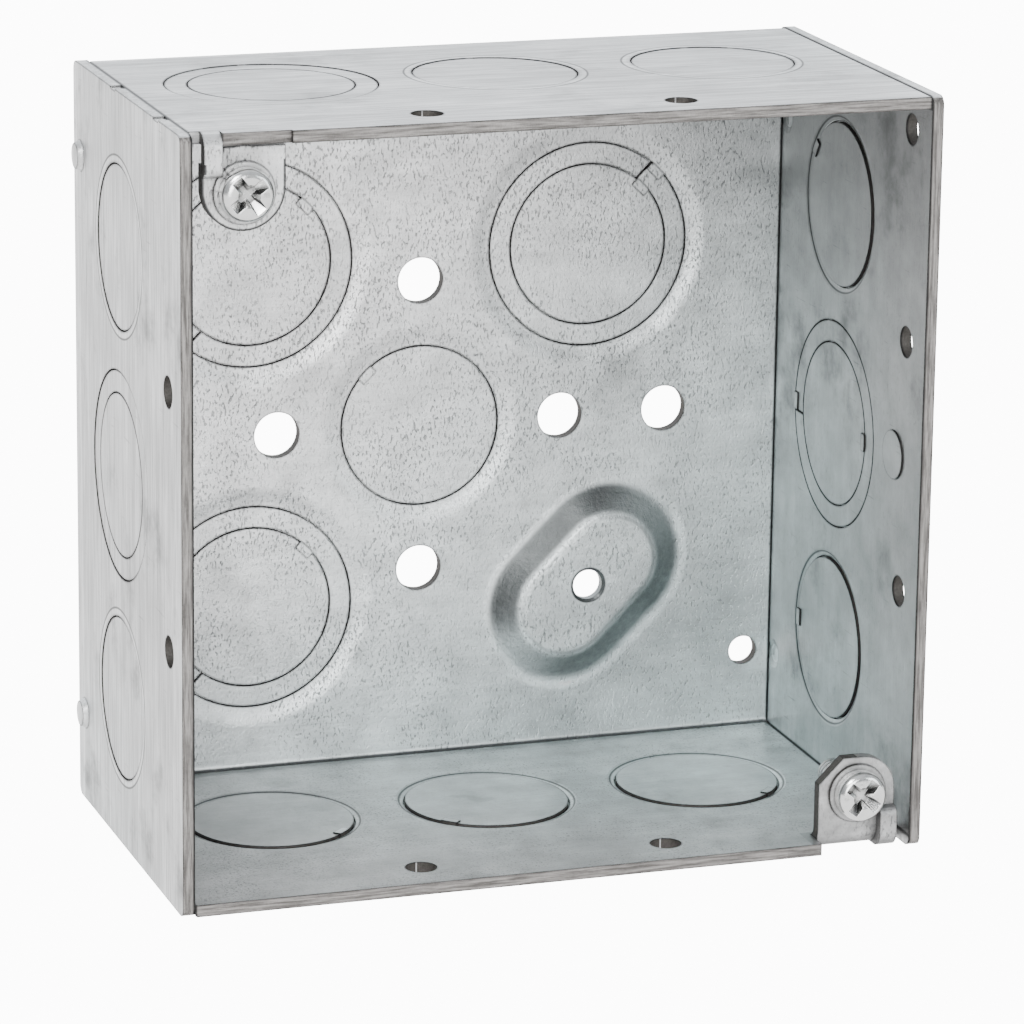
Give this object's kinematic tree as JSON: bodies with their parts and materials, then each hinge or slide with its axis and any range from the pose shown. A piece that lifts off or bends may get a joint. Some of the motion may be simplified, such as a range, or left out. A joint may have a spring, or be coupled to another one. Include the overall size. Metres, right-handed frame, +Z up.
{
  "type": "electrical junction box",
  "caption": "Square sheet steel junction box, open at the front, with round knockouts in its back and sides and two cover screws.",
  "frame": {"origin": "middle of the box's outer back face", "axes": "+Y out of the back towards the wall it is fixed to, -Y out of the open front, +Z up, +X to the right seen from the front"},
  "size_m": [0.1032, 0.0551, 0.1016],
  "materials": {
    "galvanised_shell": "galvanised sheet steel, dull silver grey with a faint grain",
    "galvanised_plate": "galvanised sheet steel, dull silver grey with light handling marks",
    "galvanised_slug": "galvanised sheet steel with a sheared edge",
    "zinc_screw": "bright zinc plated steel"
  },
  "bodies": {
    "box": {"folded_shell": "galvanised_shell", "left_side_plate": "galvanised_plate", "right_side_plate": "galvanised_plate"},
    "top_left_ring": {"top_left_ring": "galvanised_slug"},
    "top_left_slug": {"top_left_slug": "galvanised_slug"},
    "top_middle_slug": {"top_middle_slug": "galvanised_slug"},
    "top_right_slug": {"top_right_slug": "galvanised_slug"},
    "bottom_left_slug": {"bottom_left_slug": "galvanised_slug"},
    "bottom_middle_slug": {"bottom_middle_slug": "galvanised_slug"},
    "bottom_right_slug": {"bottom_right_slug": "galvanised_slug"},
    "left_upper_slug": {"left_upper_slug": "galvanised_slug"},
    "left_middle_ring": {"left_middle_ring": "galvanised_slug"},
    "left_middle_slug": {"left_middle_slug": "galvanised_slug"},
    "left_lower_slug": {"left_lower_slug": "galvanised_slug"},
    "right_upper_slug": {"right_upper_slug": "galvanised_slug"},
    "right_middle_ring": {"right_middle_ring": "galvanised_slug"},
    "right_middle_slug": {"right_middle_slug": "galvanised_slug"},
    "right_lower_slug": {"right_lower_slug": "galvanised_slug"},
    "back_centre_slug": {"back_centre_slug": "galvanised_slug"},
    "back_upper_left_ring": {"back_upper_left_ring": "galvanised_slug"},
    "back_upper_left_slug": {"back_upper_left_slug": "galvanised_slug"},
    "back_upper_right_ring": {"back_upper_right_ring": "galvanised_slug"},
    "back_upper_right_slug": {"back_upper_right_slug": "galvanised_slug"},
    "back_lower_left_ring": {"back_lower_left_ring": "galvanised_slug"},
    "back_lower_left_slug": {"back_lower_left_slug": "galvanised_slug"},
    "cover_screw_upper": {"cover_screw_upper": "zinc_screw"},
    "cover_screw_lower": {"cover_screw_lower": "zinc_screw"}
  },
  "joints": [
    {"name": "top_left_ring_fold", "type": "hinge", "parent": "box", "child": "top_left_ring", "pos_m": [-0.0304, -0.0092, 0.0492], "axis": [1, 0, 0], "range_deg": [0, 20]},
    {"name": "top_left_slug_fold", "type": "hinge", "parent": "top_left_ring", "child": "top_left_slug", "pos_m": [-0.0304, -0.0348, 0.0492], "axis": [-1, 0, 0], "range_deg": [0, 25]},
    {"name": "top_middle_slug_fold", "type": "hinge", "parent": "box", "child": "top_middle_slug", "pos_m": [0.0113, -0.0235, 0.0492], "axis": [0, -1, 0], "range_deg": [0, 25]},
    {"name": "top_right_slug_fold", "type": "hinge", "parent": "box", "child": "top_right_slug", "pos_m": [0.0191, -0.0235, 0.0492], "axis": [0, 1, 0], "range_deg": [0, 25]},
    {"name": "bottom_left_slug_fold", "type": "hinge", "parent": "box", "child": "bottom_left_slug", "pos_m": [-0.02241, -0.03149, -0.0492], "axis": [0.7071, 0.7071, 0], "range_deg": [0, 25]},
    {"name": "bottom_middle_slug_fold", "type": "hinge", "parent": "box", "child": "bottom_middle_slug", "pos_m": [-0.00799, -0.03149, -0.0492], "axis": [0.7071, -0.7071, 0], "range_deg": [0, 25]},
    {"name": "bottom_right_slug_fold", "type": "hinge", "parent": "box", "child": "bottom_right_slug", "pos_m": [0.03839, -0.03149, -0.0492], "axis": [0.7071, 0.7071, 0], "range_deg": [0, 25]},
    {"name": "left_upper_slug_fold", "type": "hinge", "parent": "box", "child": "left_upper_slug", "pos_m": [-0.0492, -0.0122, 0.0304], "axis": [0, 0, 1], "range_deg": [0, 25]},
    {"name": "left_middle_ring_fold", "type": "hinge", "parent": "box", "child": "left_middle_ring", "pos_m": [-0.0492, -0.0092, 0], "axis": [0, 0, 1], "range_deg": [0, 20]},
    {"name": "left_middle_slug_fold", "type": "hinge", "parent": "left_middle_ring", "child": "left_middle_slug", "pos_m": [-0.0492, -0.0348, 0], "axis": [0, 0, -1], "range_deg": [0, 25]},
    {"name": "left_lower_slug_fold", "type": "hinge", "parent": "box", "child": "left_lower_slug", "pos_m": [-0.0492, -0.0122, -0.0304], "axis": [0, 0, 1], "range_deg": [0, 25]},
    {"name": "right_upper_slug_fold", "type": "hinge", "parent": "box", "child": "right_upper_slug", "pos_m": [0.0492, -0.01424, 0.03688], "axis": [0, 0.5735, -0.8192], "range_deg": [0, 25]},
    {"name": "right_middle_ring_fold", "type": "hinge", "parent": "box", "child": "right_middle_ring", "pos_m": [0.0492, -0.0092, 0], "axis": [0, 0, -1], "range_deg": [0, 20]},
    {"name": "right_middle_slug_fold", "type": "hinge", "parent": "right_middle_ring", "child": "right_middle_slug", "pos_m": [0.0492, -0.0348, 0], "axis": [0, 0, 1], "range_deg": [0, 25]},
    {"name": "right_lower_slug_fold", "type": "hinge", "parent": "box", "child": "right_lower_slug", "pos_m": [0.0492, -0.0122, -0.0304], "axis": [0, 0, -1], "range_deg": [0, 25]},
    {"name": "back_centre_slug_fold", "type": "hinge", "parent": "box", "child": "back_centre_slug", "pos_m": [-0.01099, -0.0016, 0.00599], "axis": [-0.7071, 0, -0.7071], "range_deg": [0, 25]},
    {"name": "back_upper_left_ring_fold", "type": "hinge", "parent": "box", "child": "back_upper_left_ring", "pos_m": [-0.03711, -0.0016, 0.01189], "axis": [0.7071, 0, -0.7071], "range_deg": [0, 20]},
    {"name": "back_upper_left_slug_fold", "type": "hinge", "parent": "back_upper_left_ring", "child": "back_upper_left_slug", "pos_m": [-0.01901, -0.0016, 0.02999], "axis": [-0.7071, 0, 0.7071], "range_deg": [0, 25]},
    {"name": "back_upper_right_ring_fold", "type": "hinge", "parent": "box", "child": "back_upper_right_ring", "pos_m": [0.03111, -0.0016, 0.03211], "axis": [-0.7071, 0, 0.7071], "range_deg": [0, 20]},
    {"name": "back_upper_right_slug_fold", "type": "hinge", "parent": "back_upper_right_ring", "child": "back_upper_right_slug", "pos_m": [0.02899, -0.0016, 0.02999], "axis": [-0.7071, 0, 0.7071], "range_deg": [0, 25]},
    {"name": "back_lower_left_ring_fold", "type": "hinge", "parent": "box", "child": "back_lower_left_ring", "pos_m": [-0.03711, -0.0016, -0.03611], "axis": [0.7071, 0, -0.7071], "range_deg": [0, 20]},
    {"name": "back_lower_left_slug_fold", "type": "hinge", "parent": "back_lower_left_ring", "child": "back_lower_left_slug", "pos_m": [-0.01901, -0.0016, -0.01801], "axis": [-0.7071, 0, 0.7071], "range_deg": [0, 25]},
    {"name": "cover_screw_upper_back_out", "type": "slide", "parent": "box", "child": "cover_screw_upper", "axis": [0, -1, 0], "range_m": [0, 0.006]},
    {"name": "cover_screw_lower_back_out", "type": "slide", "parent": "box", "child": "cover_screw_lower", "axis": [0, -1, 0], "range_m": [0, 0.006]}
  ]
}
